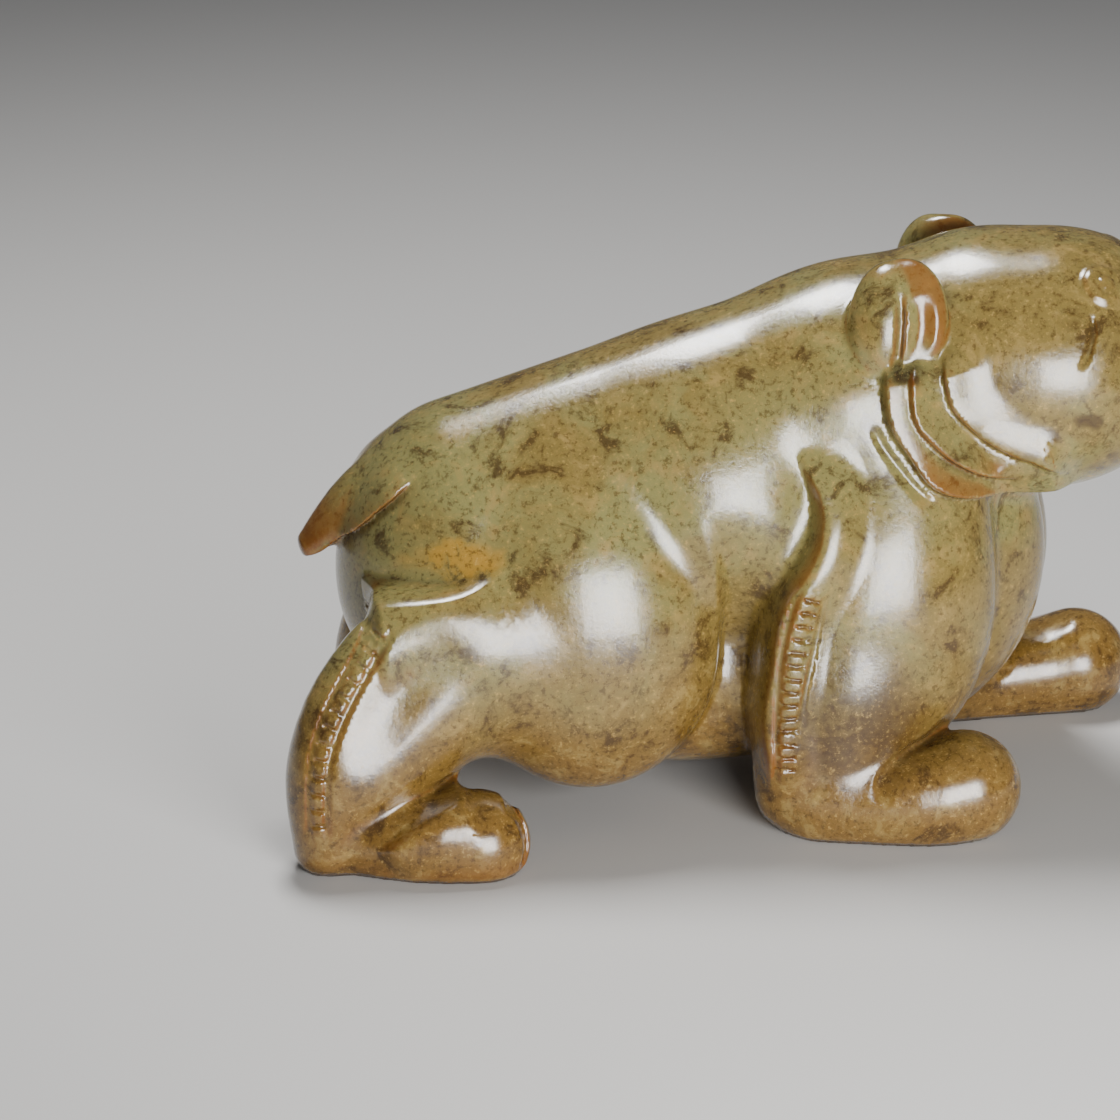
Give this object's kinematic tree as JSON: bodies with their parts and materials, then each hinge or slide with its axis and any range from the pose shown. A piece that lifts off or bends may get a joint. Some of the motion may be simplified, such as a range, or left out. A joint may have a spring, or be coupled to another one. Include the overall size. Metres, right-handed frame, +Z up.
{
  "type": "jade bear carving",
  "caption": "Striding bear carved from one piece of russet-green jade, with its head turned aside, a ruff under the ears and flat soles to stand on.",
  "frame": {"origin": "on the floor under the middle of the bear's bounding box", "axes": "+X towards the bear's nose, +Y towards its left side, +Z up"},
  "size_m": [0.0864, 0.0424, 0.0514],
  "materials": {
    "jade": "high polish, olive-green jade with russet skin and fine flecks"
  },
  "bodies": {
    "root": {"bear": "jade"}
  },
  "joints": []
}
